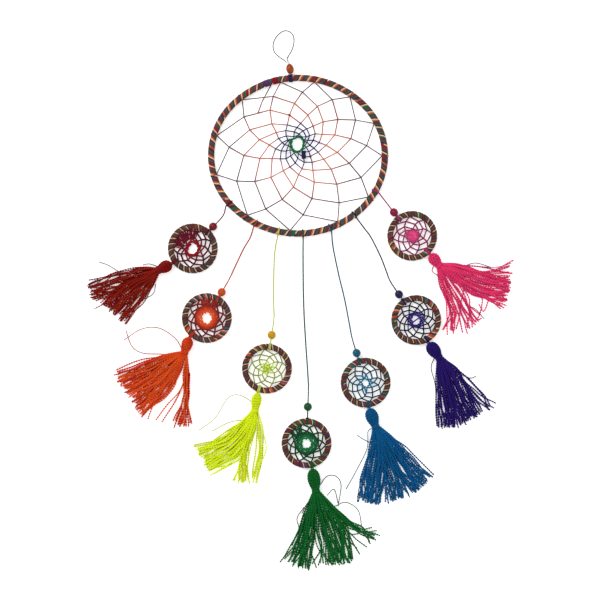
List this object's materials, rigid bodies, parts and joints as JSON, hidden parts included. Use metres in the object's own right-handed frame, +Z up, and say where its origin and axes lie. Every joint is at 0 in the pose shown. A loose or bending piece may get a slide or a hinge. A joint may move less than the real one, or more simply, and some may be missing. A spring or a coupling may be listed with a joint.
{
  "type": "dream catcher",
  "caption": "Wall-hanging dream catcher: a thread-wrapped oval hoop with a woven web, a hanging loop, and pendants of cord, bead, small webbed hoop and yarn tassel.",
  "frame": {"origin": "centre of the bounding box of everything but the cords, on the surface that the dream catcher lies on", "axes": "+X to the right, +Y from the tassels to the hanging loop, +Z up off the surface; it lies flat, as it would hang against a wall"},
  "size_m": [0.4248, 0.5392, 0.0136],
  "materials": {
    "hoop_cane": "bare bent cane, hidden inside the wrap",
    "hoop_wrap": "several thin threads of different colours wound side by side round the rim",
    "main_web_thread": "thin twisted variegated thread, matt",
    "loop_thread": "thin waxed twisted thread",
    "loop_bead": "stained and lightly varnished wooden bead",
    "red_thread": "twisted thread of the cord and the small web, matt",
    "red_yarn": "soft twisted yarn of the tassel, slightly fuzzy",
    "red_bead": "dyed wooden bead with a soft varnish",
    "orange_thread": "twisted thread of the cord and the small web, matt",
    "orange_yarn": "soft twisted yarn of the tassel, slightly fuzzy",
    "orange_bead": "dyed wooden bead with a soft varnish",
    "yellow_thread": "twisted thread of the cord and the small web, matt",
    "yellow_yarn": "soft twisted yarn of the tassel, slightly fuzzy",
    "yellow_bead": "dyed wooden bead with a soft varnish",
    "green_thread": "twisted thread of the cord and the small web, matt",
    "green_yarn": "soft twisted yarn of the tassel, slightly fuzzy",
    "green_bead": "dyed wooden bead with a soft varnish",
    "blue_thread": "twisted thread of the cord and the small web, matt",
    "blue_yarn": "soft twisted yarn of the tassel, slightly fuzzy",
    "blue_bead": "dyed wooden bead with a soft varnish",
    "purple_thread": "twisted thread of the cord and the small web, matt",
    "purple_yarn": "soft twisted yarn of the tassel, slightly fuzzy",
    "purple_bead": "dyed wooden bead with a soft varnish",
    "pink_thread": "twisted thread of the cord and the small web, matt",
    "pink_yarn": "soft twisted yarn of the tassel, slightly fuzzy",
    "pink_bead": "dyed wooden bead with a soft varnish"
  },
  "bodies": {
    "base": {"main_hoop_cane": "hoop_cane", "main_hoop_wrap": "hoop_wrap", "main_web": "main_web_thread", "loop_hitch": "loop_thread"},
    "hanging loop": {"hanging_loop": "loop_thread", "loop_bead": "loop_bead"},
    "red pendant": {"red_cord": "red_thread"},
    "red bead": {"red_bead": "red_bead"},
    "red small hoop": {"red_hoop_cane": "hoop_cane", "red_hoop_wrap": "hoop_wrap", "red_web": "red_thread"},
    "red tassel": {"red_tassel_yarn": "red_yarn", "red_tassel_binding": "red_thread"},
    "orange pendant": {"orange_cord": "orange_thread"},
    "orange bead": {"orange_bead": "orange_bead"},
    "orange small hoop": {"orange_hoop_cane": "hoop_cane", "orange_hoop_wrap": "hoop_wrap", "orange_web": "orange_thread"},
    "orange tassel": {"orange_tassel_yarn": "orange_yarn", "orange_tassel_binding": "orange_thread"},
    "yellow pendant": {"yellow_cord": "yellow_thread"},
    "yellow bead": {"yellow_bead": "yellow_bead"},
    "yellow small hoop": {"yellow_hoop_cane": "hoop_cane", "yellow_hoop_wrap": "hoop_wrap", "yellow_web": "yellow_thread"},
    "yellow tassel": {"yellow_tassel_yarn": "yellow_yarn", "yellow_tassel_binding": "yellow_thread"},
    "green pendant": {"green_cord": "green_thread"},
    "green bead": {"green_bead": "green_bead"},
    "green small hoop": {"green_hoop_cane": "hoop_cane", "green_hoop_wrap": "hoop_wrap", "green_web": "green_thread"},
    "green tassel": {"green_tassel_yarn": "green_yarn", "green_tassel_binding": "green_thread"},
    "blue pendant": {"blue_cord": "blue_thread"},
    "blue bead": {"blue_bead": "blue_bead"},
    "blue small hoop": {"blue_hoop_cane": "hoop_cane", "blue_hoop_wrap": "hoop_wrap", "blue_web": "blue_thread"},
    "blue tassel": {"blue_tassel_yarn": "blue_yarn", "blue_tassel_binding": "blue_thread"},
    "purple pendant": {"purple_cord": "purple_thread"},
    "purple bead": {"purple_bead": "purple_bead"},
    "purple small hoop": {"purple_hoop_cane": "hoop_cane", "purple_hoop_wrap": "hoop_wrap", "purple_web": "purple_thread"},
    "purple tassel": {"purple_tassel_yarn": "purple_yarn", "purple_tassel_binding": "purple_thread"},
    "pink pendant": {"pink_cord": "pink_thread"},
    "pink bead": {"pink_bead": "pink_bead"},
    "pink small hoop": {"pink_hoop_cane": "hoop_cane", "pink_hoop_wrap": "hoop_wrap", "pink_web": "pink_thread"},
    "pink tassel": {"pink_tassel_yarn": "pink_yarn", "pink_tassel_binding": "pink_thread"}
  },
  "joints": [
    {"name": "hanging loop lift", "type": "hinge", "parent": "base", "child": "hanging loop", "pos_m": [-0.00931, 0.23836, 0.0033], "axis": [1, 0, 0], "range_deg": [0, 90]},
    {"name": "red pendant swing", "type": "hinge", "parent": "base", "child": "red pendant", "pos_m": [-0.0704, 0.11333, 0.0033], "axis": [0, 0, 1], "range_deg": [-4, 4]},
    {"name": "red bead slide", "type": "slide", "parent": "red pendant", "child": "red bead", "axis": [0.682, 0.7314, 0], "range_m": [0, 0.005]},
    {"name": "red small hoop turn", "type": "hinge", "parent": "red pendant", "child": "red small hoop", "pos_m": [-0.09206, 0.08452, 0.0031], "axis": [0, 0, 1], "range_deg": [-8, 8]},
    {"name": "red tassel swing", "type": "hinge", "parent": "red small hoop", "child": "red tassel", "pos_m": [-0.12472, 0.05563, 0.0031], "axis": [0, 0, 1], "range_deg": [-10, 10]},
    {"name": "orange pendant swing", "type": "hinge", "parent": "base", "child": "orange pendant", "pos_m": [-0.04427, 0.0935, 0.0033], "axis": [0, 0, 1], "range_deg": [-3, 3]},
    {"name": "orange bead slide", "type": "slide", "parent": "orange pendant", "child": "orange bead", "axis": [0.5, 0.866, 0], "range_m": [0, 0.005]},
    {"name": "orange small hoop turn", "type": "hinge", "parent": "orange pendant", "child": "orange small hoop", "pos_m": [-0.08205, 0.01797, 0.0031], "axis": [0, 0, 1], "range_deg": [-8, 8]},
    {"name": "orange tassel swing", "type": "hinge", "parent": "orange small hoop", "child": "orange tassel", "pos_m": [-0.10765, -0.01727, 0.0031], "axis": [0, 0, 1], "range_deg": [-10, 8]},
    {"name": "yellow pendant swing", "type": "hinge", "parent": "base", "child": "yellow pendant", "pos_m": [-0.02136, 0.08539, 0.0033], "axis": [0, 0, 1], "range_deg": [-3, 3]},
    {"name": "yellow bead slide", "type": "slide", "parent": "yellow pendant", "child": "yellow bead", "axis": [0.1392, 0.9903, 0], "range_m": [0, 0.005]},
    {"name": "yellow small hoop turn", "type": "hinge", "parent": "yellow pendant", "child": "yellow small hoop", "pos_m": [-0.02995, -0.02981, 0.0031], "axis": [0, 0, 1], "range_deg": [-8, 8]},
    {"name": "yellow tassel swing", "type": "hinge", "parent": "yellow small hoop", "child": "yellow tassel", "pos_m": [-0.04085, -0.07194, 0.0031], "axis": [0, 0, 1], "range_deg": [-10, 6]},
    {"name": "green pendant swing", "type": "hinge", "parent": "base", "child": "green pendant", "pos_m": [0.00287, 0.08348, 0.0033], "axis": [0, 0, 1], "range_deg": [-3, 3]},
    {"name": "green bead slide", "type": "slide", "parent": "green pendant", "child": "green bead", "axis": [0.0349, 0.9994, 0], "range_m": [0, 0.005]},
    {"name": "green small hoop turn", "type": "hinge", "parent": "green pendant", "child": "green small hoop", "pos_m": [0.00726, -0.10411, 0.0031], "axis": [0, 0, 1], "range_deg": [-8, 8]},
    {"name": "green tassel swing", "type": "hinge", "parent": "green small hoop", "child": "green tassel", "pos_m": [0.01143, -0.14734, 0.0031], "axis": [0, 0, 1], "range_deg": [-10, 10]},
    {"name": "blue pendant swing", "type": "hinge", "parent": "base", "child": "blue pendant", "pos_m": [0.02984, 0.08897, 0.0033], "axis": [0, 0, 1], "range_deg": [-3, 3]},
    {"name": "blue bead slide", "type": "slide", "parent": "blue pendant", "child": "blue bead", "axis": [-0.2924, 0.9563, 0], "range_m": [0, 0.005]},
    {"name": "blue small hoop turn", "type": "hinge", "parent": "blue pendant", "child": "blue small hoop", "pos_m": [0.0591, -0.04456, 0.0031], "axis": [0, 0, 1], "range_deg": [-8, 8]},
    {"name": "blue tassel swing", "type": "hinge", "parent": "blue small hoop", "child": "blue tassel", "pos_m": [0.06836, -0.08721, 0.0031], "axis": [0, 0, 1], "range_deg": [-10, 10]},
    {"name": "purple pendant swing", "type": "hinge", "parent": "base", "child": "purple pendant", "pos_m": [0.05403, 0.1021, 0.0033], "axis": [0, 0, 1], "range_deg": [-3, 3]},
    {"name": "purple bead slide", "type": "slide", "parent": "purple pendant", "child": "purple bead", "axis": [-0.5592, 0.829, 0], "range_m": [0, 0.005]},
    {"name": "purple small hoop turn", "type": "hinge", "parent": "purple pendant", "child": "purple small hoop", "pos_m": [0.10375, 0.01516, 0.0031], "axis": [0, 0, 1], "range_deg": [-8, 8]},
    {"name": "purple tassel swing", "type": "hinge", "parent": "purple small hoop", "child": "purple tassel", "pos_m": [0.12628, -0.02234, 0.0031], "axis": [0, 0, 1], "range_deg": [-10, 10]},
    {"name": "pink pendant swing", "type": "hinge", "parent": "base", "child": "pink pendant", "pos_m": [0.07515, 0.12538, 0.0033], "axis": [0, 0, 1], "range_deg": [-2, 4]},
    {"name": "pink bead slide", "type": "slide", "parent": "pink pendant", "child": "pink bead", "axis": [-0.6157, 0.788, 0], "range_m": [0, 0.005]},
    {"name": "pink small hoop turn", "type": "hinge", "parent": "pink pendant", "child": "pink small hoop", "pos_m": [0.09852, 0.09826, 0.0031], "axis": [0, 0, 1], "range_deg": [-3, 8]},
    {"name": "pink tassel swing", "type": "hinge", "parent": "pink small hoop", "child": "pink tassel", "pos_m": [0.12707, 0.06511, 0.0031], "axis": [0, 0, 1], "range_deg": [-4, 10]}
  ]
}
